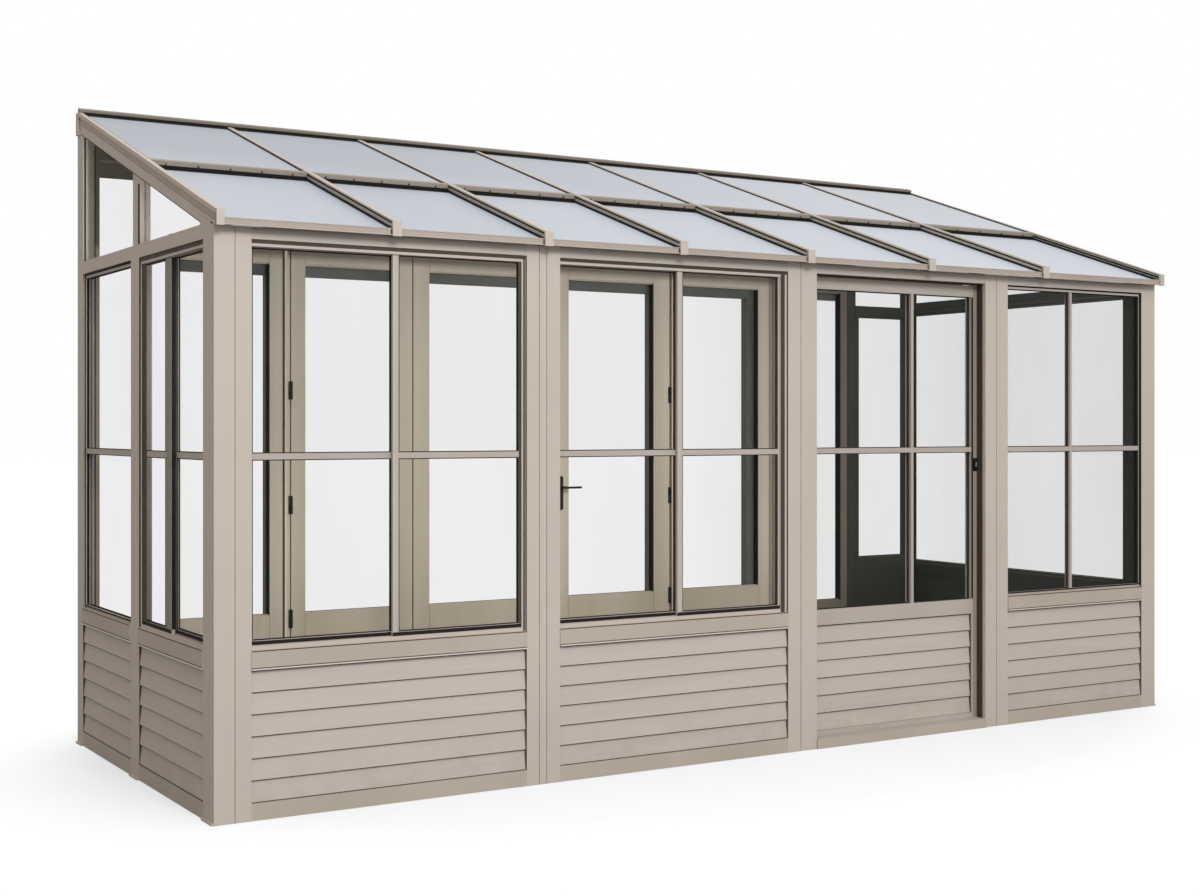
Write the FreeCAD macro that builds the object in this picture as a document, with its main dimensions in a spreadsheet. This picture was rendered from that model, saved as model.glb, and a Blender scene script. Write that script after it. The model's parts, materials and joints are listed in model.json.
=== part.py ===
import FreeCAD, Part
import os, re

# Lean-to sunroom. Millimetres, +Z up, front wall towards -Y.
# Written lengths run from the front left floor corner; the part's origin is
# the middle of its footprint at floor level.
doc = FreeCAD.newDocument("sunroom")
sheet = doc.addObject("Spreadsheet::Sheet", "Dim")

DIMS = {
    # overall
    "width": 4800, "depth": 1811, "org_x": 2400, "org_y": 878.5, "thick": 50,
    # heights
    "rail_lo": 1, "rail_hi": 65, "board_hi": 529, "sill_lo": 534, "sill_hi": 598,
    "frame_sill": 606, "rib": 14, "rib_lo": 6, "frame_head": 2032, "head_lo": 2042,
    "post_hi": 2085, "munt_z": 1278, "munt": 22, "munt_v": 14, "tie_lo": 2045, "tie_hi": 2098,
    # front wall, left to right
    "corner_d": 116, "bay_one_l": 136, "bay_one_r": 1240, "bay_two_l": 1388, "bay_two_r": 2509,
    "bay_dor_l": 2664, "bay_dor_r": 3653, "bay_fix_l": 3795, "bay_fix_r": 4704,
    "groove": 3, "groove_d": 4, "wall": 3,
    # end walls, front to rear
    "end_mid_f": 890, "end_mid_r": 999, "rgt_mid_f": 1170, "rgt_mid_r": 1262, "end_rear": 1723,
    # windows
    "jamb": 8, "jamb_l": 3, "jamb_one": 20, "jamb_two": 38, "stile": 24, "stile_s": 64, "edge": 9, "top": 16,
    "rail_bot": 22, "glass": 6,
    "out_a": 12, "out_b": 26, "in_a": 31, "in_b": 45,
    "meet_one": 694, "meet_two": 1961, "meet_side": 545, "lap": 15,
    # lap boards
    "board_p": 77.3, "board_back": 14, "board_bot": 12, "board_top": 4, "sill_out": 4,
    # roof: local y runs up the slope, local z square to it
    "eave_y": -48, "eave_z": 2133, "sinp": 0.32227, "cosp": 0.94665, "pitch": 18.8,
    "raf_end": 1884, "roof_end": 1918, "flange_w": 60, "stem_w": 16, "cap_w": 22, "ecap_w": 36,
    "z_flange": -60, "z_low": -50, "z_lowtop": -34, "z_up": -24, "z_uptop": -8, "z_cap": -6,
    "purl_a": 887, "purl_b": 917, "rake_w": 12, "rake_in": 50, "ledge": 65, "rake_over": 8,
    "z_skirt": -88, "skirt_a": 173, "skirt_b": 1878, "fas_lo": 2082, "ecap_lo": 2078,
    "raf_a": 12, "raf_b": 671, "raf_c": 1310, "raf_d": 1939, "raf_e": 2595,
    "raf_f": 3280, "raf_g": 3993, "raf_h": 4788,
    # sliding door
    "sd_l": 2650, "sd_r": 3667, "sd_f": 56, "sd_b": 96, "sd_lo": 40, "sd_hi": 2034,
    "sd_stile": 48, "sd_mid_lo": 521, "sd_mid_hi": 588, "sd_munt_x": 3258, "track_l": 1640, "track_r": 3704,
    # rear wall
    "rear_f": 1761, "rear_w": 50, "rh_lo": 2085, "rh_hi": 2147, "plate_lo": 2600, "plate_hi": 2718,
    "q_r": 400, "qp_l": 388, "qp_r": 430, "q_lo": 300, "q_hi": 2474,
    "pa_l": 847, "pa_r": 1037, "bc_l": 2263, "bc_r": 2463, "cd_l": 2964, "cd_r": 3158, "de_l": 3598, "de_r": 3821,
    "door_f": 1712, "door_b": 1756, "door_lo": 30, "door_hi": 2230, "over_lo": 2240, "casing_hi": 2300,
    "dglass_lo": 517, "dglass_hi": 2135, "eglass_lo": 408,
    "x_pa": 945, "x_ab": 1565, "x_bc": 2363, "x_cd": 3058, "x_de": 3718, "gap": 3,
    "mull": 10, "x_ef_l": 4267, "x_ef_r": 4330, "end_lo": 640, "end_hi": 2009, "eh_lo": 2012, "eh_hi": 2070,
    "hinge_r": 6, "hinge_h": 84, "hz_a": 454, "hz_b": 980, "hz_c": 1509,
    "pin_y": 1705,
    "bolt_x": 2000, "bolt_z": 35, "bolt_mid": 2667, "bolt_r": 6.5,
    "lever_x": 2392, "lever_z": 1075,
}
for i, (alias, value) in enumerate(DIMS.items(), start=1):
    sheet.set("A%d" % i, alias)
    sheet.set("B%d" % i, str(value))
    sheet.setAlias("B%d" % i, alias)
doc.recompute()

V = FreeCAD.Vector
PITCH = FreeCAD.Rotation(V(1, 0, 0), DIMS["pitch"])
NODES = []
count = [0]


def ex(text):
    return re.sub(r"[A-Za-z_]\w*",
                  lambda m: "Dim." + m.group(0) if m.group(0) in DIMS else m.group(0), str(text))


def fresh(kind, stem):
    count[0] += 1
    return doc.addObject(kind, "%s_%03d" % (stem, count[0]))


def put(obj, x, y, z):
    obj.setExpression(".Placement.Base.x", ex("(%s)-org_x" % x))
    obj.setExpression(".Placement.Base.y", ex("(%s)-org_y" % y))
    obj.setExpression(".Placement.Base.z", ex(z))


def box(x0, x1, y0, y1, z0, z1):
    b = fresh("Part::Box", "box")
    b.setExpression("Length", ex("(%s)-(%s)" % (x1, x0)))
    b.setExpression("Width", ex("(%s)-(%s)" % (y1, y0)))
    b.setExpression("Height", ex("(%s)-(%s)" % (z1, z0)))
    put(b, x0, y0, z0)
    return b


def slope(obj, x, y, z, turn=FreeCAD.Rotation()):
    obj.Placement = FreeCAD.Placement(V(0, 0, 0), PITCH.multiply(turn))
    put(obj, x, "eave_y+(%s)*cosp-(%s)*sinp" % (y, z), "eave_z+(%s)*sinp+(%s)*cosp" % (y, z))


def sbox(x0, x1, y0, y1, z0, z1):
    b = fresh("Part::Box", "sloped")
    b.setExpression("Length", ex("(%s)-(%s)" % (x1, x0)))
    b.setExpression("Width", ex("(%s)-(%s)" % (y1, y0)))
    b.setExpression("Height", ex("(%s)-(%s)" % (z1, z0)))
    slope(b, x0, y0, z0)
    return b


def cyl(x, y, z, r, h, rot=None):
    c = fresh("Part::Cylinder", "cyl")
    c.setExpression("Radius", ex(r))
    c.setExpression("Height", ex(h))
    if rot is not None:
        c.Placement = FreeCAD.Placement(V(0, 0, 0), rot)
    put(c, x, y, z)
    return c


ALONG_X = FreeCAD.Rotation(V(0, 1, 0), 90)
ALONG_Y = FreeCAD.Rotation(V(1, 0, 0), -90)


def group(objs):
    g = fresh("Part::Compound", "group")
    g.Links = objs
    return g


def cut(base, tools):
    c = fresh("Part::Cut", "cut")
    c.Base = base
    c.Tool = tools[0] if len(tools) == 1 else fuse_tools(tools)
    return c


def fuse_tools(objs):
    return group(objs)


def fuse(objs):
    f = fresh("Part::MultiFuse", "fuse")
    f.Shapes = objs
    f.Refine = True
    return f


def node(label, objs):
    objs = list(objs)
    o = objs[0] if len(objs) == 1 else group(objs)
    o.Label = label
    NODES.append(o)
    return o


def wall_box(side, u0, u1, t0, t1, z0, z1):
    """A box in a wall: u along the wall, t inwards from its outer face."""
    if side == "front":
        return box(u0, u1, t0, t1, z0, z1)
    if side == "left":
        return box(t0, t1, u0, u1, z0, z1)
    return box("width-(%s)" % t1, "width-(%s)" % t0, u0, u1, z0, z1)


def ring(side, u0, u1, t0, t1, z0, z1, holes):
    """A glazed frame: a slab with a clear hole for each pane."""
    slab = wall_box(side, u0, u1, t0, t1, z0, z1)
    tools = [wall_box(side, a, b, "(%s)-1" % t0, "(%s)+1" % t1, c, d) for a, b, c, d in holes]
    return cut(slab, tools)


def panes(side, t, holes):
    return [wall_box(side, a, b, "(%s)-glass/2" % t, "(%s)+glass/2" % t, c, d) for a, b, c, d in holes]


def lights(u0, u1, z0, z1, cross=None):
    """Pane outlines either side of the bars at munt_z and, if given, at cross."""
    cols = [(u0, u1)] if cross is None else [(u0, "(%s)-munt_v/2" % cross), ("(%s)+munt_v/2" % cross, u1)]
    rows = [(z0, "munt_z-munt/2"), ("munt_z+munt/2", z1)]
    return [(a, b, c, d) for a, b in cols for c, d in rows]


def boards(side, u0, u1, back, z_top, n, pitch):
    """Lap boards, each thicker at its lower edge, from z_top down."""
    out = []
    for i in range(n):
        w = fresh("Part::Wedge", "board")
        for prop, e in (("Xmin", "0"), ("Ymin", "0"), ("Zmin", "0"), ("X2min", "0"), ("Z2min", "0"),
                        ("Xmax", "(%s)-(%s)" % (u1, u0)), ("Ymax", pitch), ("Zmax", "board_bot"),
                        ("X2max", "(%s)-(%s)" % (u1, u0)), ("Z2max", "board_top")):
            w.setExpression(prop, ex(e))
        up = FreeCAD.Rotation(V(1, 0, 0), 90)
        z = "(%s)-(%s)*%d" % (z_top, pitch, i + 1)
        if side == "front":
            w.Placement = FreeCAD.Placement(V(0, 0, 0), up)
            put(w, u0, back, z)
        elif side == "left":
            w.Placement = FreeCAD.Placement(V(0, 0, 0), FreeCAD.Rotation(V(0, 0, 1), -90).multiply(up))
            put(w, back, u1, z)
        else:
            w.Placement = FreeCAD.Placement(V(0, 0, 0), FreeCAD.Rotation(V(0, 0, 1), 90).multiply(up))
            put(w, "width-(%s)" % back, u0, z)
        out.append(w)
    return out


def tube(x0, x1, y0, y1, z0, z1, grooves=()):
    """An upright hollow extrusion with narrow grooves in its front face."""
    outer = box(x0, x1, y0, y1, z0, z1)
    tools = [box("(%s)+wall+groove_d" % x0, "(%s)-wall-groove_d" % x1, "(%s)+wall+groove_d" % y0,
                 "(%s)-wall-groove_d" % y1, "(%s)-1" % z0, "(%s)+1" % z1)]
    for g in grooves:
        tools.append(box("(%s)-groove/2" % g, "(%s)+groove/2" % g, "(%s)-1" % y0,
                         "(%s)+groove_d" % y0, "(%s)-1" % z0, "(%s)+1" % z1))
    return cut(outer, tools)


# --- posts ---------------------------------------------------------------
node("posts_front_corner", [
    tube("0", "bay_one_l", "0", "corner_d", "0", "post_hi", ["76"]),
    tube("bay_fix_r", "width", "0", "corner_d", "0", "post_hi")])
node("posts_front_mid", [
    tube("bay_one_r", "bay_two_l", "0", "thick", "0", "post_hi", ["bay_one_r+55", "bay_one_r+88"]),
    tube("bay_two_r", "bay_dor_l", "0", "thick", "0", "post_hi", ["bay_two_r+68"]),
    tube("bay_dor_r", "bay_fix_l", "0", "thick", "0", "post_hi", ["bay_dor_r+70"])])
node("posts_end_mid", [
    tube("0", "thick", "end_mid_f", "end_mid_r", "0", "tie_lo"),
    tube("width-thick", "width", "rgt_mid_f", "rgt_mid_r", "0", "tie_lo")])


def over(x0, x1, y0, z0):
    """The space above a roof-local height, from y0 up the slope."""
    return sbox("(%s)-5" % x0, "(%s)+5" % x1, y0, "2400", z0, "900")


def under_roof(slab, x0, x1):
    """Cuts off a slab 1 mm under the rakes."""
    return cut(slab, [over(x0, x1, "-200", "z_skirt-1")])


node("posts_rear_corner", [
    fuse([tube(a, b, "end_rear", "depth", "0", "plate_lo"),
          under_roof(box(a, b, "end_rear", "rear_f-0.5", "plate_lo", "plate_lo+200"), a, b)])
    for a, b in (("0", "rear_w"), ("width-rear_w", "width"))])
posts_rear = [tube("%s_l" % x, "%s_r" % x, "rear_f", "depth", "0", "plate_lo") for x in ("pa", "bc", "cd", "de")]
posts_rear.append(tube("qp_l", "qp_r", "rear_f", "depth", "0", "over_lo"))
posts_rear.append(tube("x_ef_l", "x_ef_r", "door_f", "depth", "0", "plate_lo"))
# the last rear bay has a low panel under its window
END_PANE = ("x_ef_r+24", "width-rear_w-8", "end_lo", "end_hi")
posts_rear.append(ring("front", "x_ef_r+2", "width-rear_w-3", "door_f", "rear_f-1", "24", "eh_hi", [END_PANE]))
node("posts_rear_mid", posts_rear)

# --- beams ---------------------------------------------------------------
FRONT = [("bay_one_l", "bay_one_r"), ("bay_two_l", "bay_two_r"), ("bay_dor_l", "bay_dor_r"), ("bay_fix_l", "bay_fix_r")]
WALLED = [FRONT[0], FRONT[1], FRONT[3]]
ENDS = {"left": [("corner_d", "end_mid_f"), ("end_mid_r", "end_rear")],
        "right": [("corner_d", "rgt_mid_f"), ("rgt_mid_r", "end_rear")]}
node("header_front", [box(a, b, "0", "thick", "head_lo", "post_hi") for a, b in FRONT])
ties = []
for s, x0, x1 in (("left", "0", "thick"), ("right", "width-thick", "width")):
    toe = cut(box(x0, x1, "0", "150", "post_hi", "post_hi+200"),
              [over(x0, x1, "-200", "z_flange-1"), over(x0, x1, "skirt_a-0.5", "z_skirt-1")])
    ties.append(fuse([wall_box(s, "corner_d", "end_rear", "0", "thick", "tie_lo", "tie_hi"), toe]))
node("tie_beams", ties)
SPANS = [("qp_r", "pa_l"), ("pa_r", "bc_l"), ("bc_r", "cd_l"), ("cd_r", "de_l"), ("de_r", "x_ef_l"), ("x_ef_r", "width-rear_w")]
HEADS = [("rh_lo", "rh_hi")] * 4 + [("rh_lo+14", "rh_hi+14"), ("eh_lo", "eh_hi")]
node("header_rear", [box(a, b, "rear_f", "depth", lo, hi) for (a, b), (lo, hi) in zip(SPANS, HEADS)])
node("wall_plate", [cut(box("0", "width", "rear_f", "depth", "plate_lo", "plate_hi"),
                        [cyl("org_x+(%s)*bolt_x" % i, "rear_f-1", "bolt_mid+(%s)*bolt_z" % j, "bolt_r", "depth-rear_f+2", ALONG_Y)
                         for i in (-1, 1) for j in (-1, 1)])])

# --- low walls -----------------------------------------------------------
def all_low(t0, t1, z0, z1):
    out = [wall_box("front", a, b, t0, t1, z0, z1) for a, b in WALLED]
    for s in ("left", "right"):
        out += [wall_box(s, a, b, t0, t1, z0, z1) for a, b in ENDS[s]]
    return out


node("base_rails", all_low("0", "thick", "rail_lo", "rail_hi"))
node("wall_linings", all_low("board_back", "thick-4", "rail_hi", "sill_lo"))
node("sill_rails", all_low("-sill_out", "thick", "sill_lo", "sill_hi"))
node("boards_front", [b for a, c in WALLED for b in boards("front", a, c, "board_back", "board_hi", 6, "board_p")])
node("boards_ends", [b for s in ("left", "right") for a, c in ENDS[s]
                     for b in boards(s, a, c, "board_back", "board_hi", 6, "board_p")])

# --- sliding windows -----------------------------------------------------
def slider_frame(side, a, b, ja, jb):
    parts = [wall_box(side, a, "(%s)+%s" % (a, ja), "6", "thick", "sill_hi", "head_lo"),
             wall_box(side, "(%s)-%s" % (b, jb), b, "6", "thick", "sill_hi", "head_lo")]
    u0, u1 = "(%s)+%s" % (a, ja), "(%s)-%s" % (b, jb)
    for z0, z1, r0, r1 in (("sill_hi", "frame_sill", "frame_sill", "frame_sill+rib_lo"),
                           ("frame_head", "head_lo", "frame_head-rib", "frame_head")):
        bar = wall_box(side, u0, u1, "6", "thick", z0, z1)
        ribs = [wall_box(side, u0, u1, p, q, r0, r1) for p, q in (("6", "9"), ("27", "29"), ("47", "thick"))]
        parts.append(fuse([bar] + ribs))
    return parts


node("slider_frame_one", slider_frame("front", *FRONT[0], "jamb_l", "jamb_one"))
node("slider_frame_two", slider_frame("front", *FRONT[1], "jamb_l", "jamb_two"))
node("slider_frame_end", slider_frame("left", *ENDS["left"][0], "jamb", "jamb"))


def sash(side, u0, u1, t0, t1, z0, z1, s0, s1):
    """A sash whose stiles are s0 and s1 wide: slim at the jamb, wider where two sashes meet."""
    holes = lights("(%s)+%s" % (u0, s0), "(%s)-%s" % (u1, s1), "(%s)+rail_bot" % z0, "(%s)-top" % z1)
    return ring(side, u0, u1, t0, t1, z0, z1, holes), panes(side, "((%s)+(%s))/2" % (t0, t1), holes)


fixed_frames, fixed_glass = [], []
for side, u0, u1, s0, s1 in (("front", "meet_one-stile/2", "bay_one_r-jamb_one", "stile", "edge"),
                             ("front", "meet_two-stile/2", "bay_two_r-jamb_two", "stile", "edge"),
                             ("left", "meet_side-stile_s/2", "end_mid_f-jamb", "stile_s", "edge")):
    f, g = sash(side, u0, u1, "out_a", "out_b", "frame_sill", "frame_head", s0, s1)
    fixed_frames.append(f)
    fixed_glass += g
for name, side, u0, u1, s0, s1 in (("sash_one", "front", "bay_one_l+jamb_l+1", "meet_one+lap", "edge", "stile"),
                                   ("sash_two", "front", "bay_two_l+jamb_l+1", "meet_two+lap", "edge", "stile"),
                                   ("sash_end", "left", "corner_d+jamb+1", "meet_side+stile_s/2", "edge", "stile_s")):
    f, g = sash(side, u0, u1, "in_a", "in_b", "frame_sill+1", "frame_head-1", s0, s1)
    node(name + "_frame", [f])
    node(name + "_glass", g)

# --- fixed windows -------------------------------------------------------
for side, u0, u1, cross in (("front", "bay_fix_l", "bay_fix_r", "4223"), ("left", "end_mid_r", "end_rear", None),
                            ("right", "corner_d", "rgt_mid_f", None), ("right", "rgt_mid_r", "end_rear", None)):
    holes = lights("(%s)+edge" % u0, "(%s)-edge" % u1, "sill_hi+14", "head_lo-top", cross)
    if side == "right":
        # the right end wall has plain panes
        holes = [("(%s)+edge" % u0, "(%s)-edge" % u1, "sill_hi+14", "head_lo-top")]
    fixed_frames.append(ring(side, u0, u1, "12", "44", "sill_hi", "head_lo", holes))
    fixed_glass += panes(side, "28", holes)
node("fixed_frames", fixed_frames)
node("fixed_glass", fixed_glass)

# --- gable lights --------------------------------------------------------
def gable(side, y0, y1, t0, t1):
    """An upright slab over the tie beam, cut off under the sloping rake."""
    slab = wall_box(side, y0, y1, t0, t1, "tie_hi", "tie_hi+700")
    return under_roof(slab, *((t0, t1) if side == "left" else ("width-(%s)" % t1, "width-(%s)" % t0)))


GABLE = {"left": ("end_mid_f", "end_mid_r-14"), "right": ("rgt_mid_f", "rgt_mid_r-14")}
node("gable_mullions", [gable(s, a, b, "4", "46") for s, (a, b) in GABLE.items()])
node("gable_glass", [gable(s, a, b, "22", "28") for s, (m, n) in GABLE.items() for a, b in (("150", m), (n, "end_rear"))])

# --- roof ----------------------------------------------------------------
MID = ["raf_b", "raf_c", "raf_d", "raf_e", "raf_f", "raf_g"]
node("rafters", [fuse([sbox("%s-flange_w/2" % r, "%s+flange_w/2" % r, "22", "raf_end", "z_flange", "z_low"),
                       sbox("%s-stem_w/2" % r, "%s+stem_w/2" % r, "22", "raf_end", "z_low", "z_cap"),
                       sbox("%s-flange_w/2" % r, "%s+flange_w/2" % r, "purl_a", "raf_end", "z_low", "z_up")]) for r in MID])
rakes = []
for edge, flange, skirt in ((("0", "rake_w"), ("0", "ledge"), ("0", "rake_in")),
                            (("width-rake_w", "width"), ("width-ledge", "width"), ("width-rake_in", "width"))):
    rakes.append(fuse([sbox(*edge, "22", "raf_end", "z_low", "-16"),
                       sbox(*flange, "22", "raf_end", "z_flange", "z_low"),
                       sbox(*flange, "purl_a", "raf_end", "z_low", "z_up"),
                       sbox(*skirt, "skirt_a", "skirt_b", "z_skirt", "z_flange")]))
node("rake_beams", rakes)
node("cap_strips", [sbox("%s-cap_w/2" % r, "%s+cap_w/2" % r, "5", "roof_end", "z_cap", "0") for r in MID]
     + [sbox("-rake_over", "rake_w", "5", "roof_end", "-16", "0"),
        sbox("width-rake_w", "width+rake_over", "5", "roof_end", "-16", "0")])
# caps on the eave ends, and a cover on each end of the wall plate
node("end_caps", [box("%s-ecap_w/2" % r, "%s+ecap_w/2" % r, "-54", "-44", "ecap_lo", "2134") for r in MID]
     + [box(a, b, "-54", "-44", "ecap_lo", "2134") for a, b in (("-rake_over", "20"), ("width-20", "width+rake_over"))]
     + [box(a, b, "1776", "depth", "2655", "2752") for a, b in (("-rake_over", "0"), ("width", "width+rake_over"))])
INNER = [("rake_w", "raf_b-stem_w/2")] + [("%s+stem_w/2" % MID[i], "%s-stem_w/2" % MID[i + 1]) for i in range(5)] \
    + [("raf_g+stem_w/2", "width-rake_w")]
node("roof_panels_low", [sbox("(%s)+2" % a, "(%s)-2" % b, "8", "purl_a-0.5", "z_low+0.2", "z_lowtop") for a, b in INNER])
node("roof_panels_up", [sbox("(%s)+2" % a, "(%s)-2" % b, "purl_b+0.5", "roof_end", "z_up+0.2", "z_uptop") for a, b in INNER])
BELOW = [("ledge+1", "raf_b-flange_w/2-1")] + [("%s+flange_w/2+1" % MID[i], "%s-flange_w/2-1" % MID[i + 1]) for i in range(5)] \
    + [("raf_g+flange_w/2+1", "width-ledge-1")]
node("purlin_bars", [fuse([sbox("(%s)+4" % a, "(%s)-4" % b, "purl_a", "purl_b", "z_up+0.2", "-2"),
                           sbox(c, d, "purl_a", "purl_b", "z_low+0.2", "z_up+0.2")])
                     for (a, b), (c, d) in zip(INNER, BELOW)])
screws = []
for a, b in INNER:
    for k in range(5):
        s = fresh("Part::Cylinder", "screw")
        s.setExpression("Radius", ex("3.4"))
        s.setExpression("Height", ex("3"))
        slope(s, "(%s)+((%s)-(%s))*%.2f" % (a, b, a, 0.1 + 0.2 * k), "purl_a-3", "-14.5", ALONG_Y)
        screws.append(s)
node("purlin_screws", screws)
node("eave_fascia", [box("-2", "width+2", "-44", "-31", "fas_lo", "2107")])
node("ridge_bar", [fuse([sbox("0", "width", "roof_end+2", "1958", "-8", "14"),
                         box("0", "width", "1788", "1804", "plate_hi", "2752")])])

# --- rear wall -----------------------------------------------------------
def leaf(x0, x1, y1, lo, first, last):
    h = ("(%s)+%d" % (x0, first), "(%s)-%d" % (x1, last), lo, "dglass_hi")
    return ring("front", x0, x1, "door_f", y1, "door_lo", "door_hi", [h]), h


rear_frames, rear_glass = [], []
for a, b, lo, first, last in (("q_r+3", "x_pa-gap", "dglass_lo", 16, 98), ("x_cd+gap", "x_de-gap/2", "dglass_lo", 40, 76),
                              ("x_de+gap/2", "x_ef_l-2", "eglass_lo", 82, 45)):
    f, h = leaf(a, b, "rear_f", lo, first, last)
    rear_frames.append(f)
    rear_glass += panes("front", "door_b-12", [h])
# the tall light beside the left end wall, and the mullion between the door openings
TALL = ("rear_w+19", "q_r-16", "q_lo", "q_hi")
OVER = ("q_r-14", "pa_l", "over_lo", "q_hi")
rear_frames.append(fuse([box(a, b, "door_f", "rear_f", c, d) for a, b, c, d in (
    ("rear_w+3", "rear_w+19", "24", "plate_lo-4"), ("rear_w+19", "q_r", "24", "q_lo"), ("q_r-16", "q_r", "q_lo", "over_lo"),
    ("rear_w+19", "pa_l+30", "q_hi", "plate_lo-4"), ("pa_l", "pa_l+30", "over_lo", "q_hi"))]))
rear_frames.append(box("x_bc-mull", "x_bc+mull", "door_f", "rear_f", "24", "door_hi+8"))
node("rear_fixed_frames", rear_frames)
rear_glass += panes("front", "door_b-12", [END_PANE, TALL, OVER])
rear_glass += [box(a, b, "1783", "1789", hi, "plate_lo") for (a, b), (lo, hi) in list(zip(SPANS, HEADS))[1:]]
node("rear_fixed_glass", rear_glass)
node("rear_head_casing", [box("q_r+3", "pa_l", "1716", "rear_f", "door_hi+2", "over_lo"),
                          box("pa_l+32", "x_ef_l-2", "1716", "rear_f", "door_hi+10", "casing_hi")])
node("rear_threshold", [box(a, b, "rear_f", "depth", "0", "22") for a, b in SPANS + [("rear_w", "qp_l")]]
     + [box("rear_w+3", "x_ef_l-2", "1700", "rear_f", "0", "22"), box("x_ef_r+2", "width-rear_w-3", "1700", "rear_f", "0", "22")])


def hinges(x, side, fixed):
    """Butt hinge halves: a narrow plate on the room face and half of the barrel."""
    out = []
    for z in ("hz_a", "hz_b", "hz_c"):
        z0, z1 = (z, "%s+hinge_h/2-0.4" % z) if fixed else ("%s+hinge_h/2+0.4" % z, "%s+hinge_h" % z)
        barrel = cyl(x, "pin_y", z0, "hinge_r", "(%s)-(%s)" % (z1, z0))
        spots = [("(%s)+6.4", "(%s)+10.4"), ("(%s)", "(%s)+10.4")] if side > 0 else [("(%s)-10.4", "(%s)-6.4"), ("(%s)-10.4", "(%s)")]
        plate, arm = [box(a % x, b % x, "door_f-3", "door_f", p, q)
                      for (a, b), (p, q) in zip(spots, ((z, "%s+hinge_h" % z), (z0, z1)))]
        out.append(fuse([barrel, plate, arm]))
    return out


PIN_B = "x_bc-mull-gap"
node("hinge_jamb_leaves", hinges("x_pa", -1, True) + hinges(PIN_B, 1, True) + hinges("x_cd", 1, True))
for name, a, b, first, last in (("leaf_a", "x_pa+gap", "x_ab-gap/2", 69, 82), ("leaf_b", "x_ab+gap/2", "x_bc-mull-2*gap", 88, 82),
                                ("leaf_c", "x_bc+mull+gap", "x_cd-gap", 62, 99)):
    f, h = leaf(a, b, "door_b", "dglass_lo", first, last)
    node(name + "_frame", [f])
    node(name + "_glass", panes("front", "door_b-12", [h]))
node("leaf_a_hinges", hinges("x_pa", 1, False))
node("leaf_b_hinges", hinges(PIN_B, -1, False))
node("leaf_c_hinges", hinges("x_cd", -1, False))
node("lever_plate", [fuse([box("lever_x-10", "lever_x+10", "door_f-7", "door_f", "lever_z-104", "lever_z+48"),
                           cyl("lever_x", "door_f-7", "lever_z-104", "10", "7", ALONG_Y),
                           cyl("lever_x", "door_f-7", "lever_z+48", "10", "7", ALONG_Y)])])
node("lever", [fuse([cyl("lever_x", "door_f-50", "lever_z", "7", "42.5", ALONG_Y),
                     cyl("lever_x", "door_f-42", "lever_z", "5.5", "97", ALONG_X)])])

# --- sliding door --------------------------------------------------------
node("door_sill_track", [box("bay_dor_l", "bay_dor_r", "-6", "thick", "0", "42"),
                         fuse([box("track_l", "track_r", "52", "100", "0", "26"),
                               box("track_l", "track_r", "73", "79", "26", "36")])])
node("door_head_track", [cut(box("track_l", "track_r", "52", "100", "sd_hi+6", "sd_hi+40"),
                             [box("track_l-1", "track_r+1", "66", "86", "sd_hi+5", "sd_hi+28")])])
stl, strr = "sd_l+sd_stile", "sd_r-sd_stile"
sd_holes = lights(stl, strr, "sd_mid_hi", "sd_hi-52", "sd_munt_x")
slab = cut(box("sd_l", "sd_r", "sd_f", "sd_b", "sd_lo", "sd_hi"),
           [wall_box("front", a, b, "sd_f-1", "sd_b+1", c, d) for a, b, c, d in sd_holes]
           + [box(stl, strr, "sd_f-1", "sd_f+16", "sd_mid_lo-6*76", "sd_mid_lo"),
              box("sd_l+60", "sd_r-60", "70", "82", "sd_lo-1", "sd_lo+27")])
node("door_frame", [fuse([slab, box("sd_l+90", "sd_r-90", "72", "80", "sd_hi", "sd_hi+20")])])
node("door_glass", panes("front", "(sd_f+sd_b)/2", sd_holes))
node("door_boards", boards("front", stl, strr, "sd_f+16", "sd_mid_lo", 6, "76"))
node("door_rollers", [cyl("%s" % x, "72.5", "50.3", "14", "7", ALONG_Y) for x in ("sd_l+140", "sd_r-140")])
node("door_pull", [box("sd_r-38", "sd_r-16", "sd_f-3", "sd_f", "1178", "1239"),
                   fuse([box("sd_r-33", "sd_r-21", "sd_f-9", "sd_f-3", "1192", "1225"),
                         cyl("sd_r-27", "sd_f-9", "1192", "6", "6", ALONG_Y),
                         cyl("sd_r-27", "sd_f-9", "1225", "6", "6", ALONG_Y)])])

doc.recompute()
bad = [o.Name for o in doc.Objects if "Invalid" in o.State or "Error" in o.State]
for o in doc.Objects:
    if hasattr(o, "Shape") and (o.Shape.isNull() or not o.Shape.isValid()):
        bad.append(o.Name)
if bad:
    raise RuntimeError("bad objects: " + ", ".join(sorted(set(bad))))
os.makedirs("parts", exist_ok=True)
for o in NODES:
    s = o.Shape
    if not s.Solids or min(k.Volume for k in s.Solids) <= 0:
        raise RuntimeError("no solid in " + o.Label)
    s.exportStep("parts/%s.step" % o.Label)
    bb = s.BoundBox
    print("%-20s solids %3d  vol %9.0f cm3  x %.0f..%.0f y %.0f..%.0f z %.0f..%.0f" % (
        o.Label, len(s.Solids), s.Volume / 1000, bb.XMin, bb.XMax, bb.YMin, bb.YMax, bb.ZMin, bb.ZMax))
print(len(NODES), "nodes")
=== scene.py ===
import bpy, bmesh, json, math
from mathutils import Matrix, Vector


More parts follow.
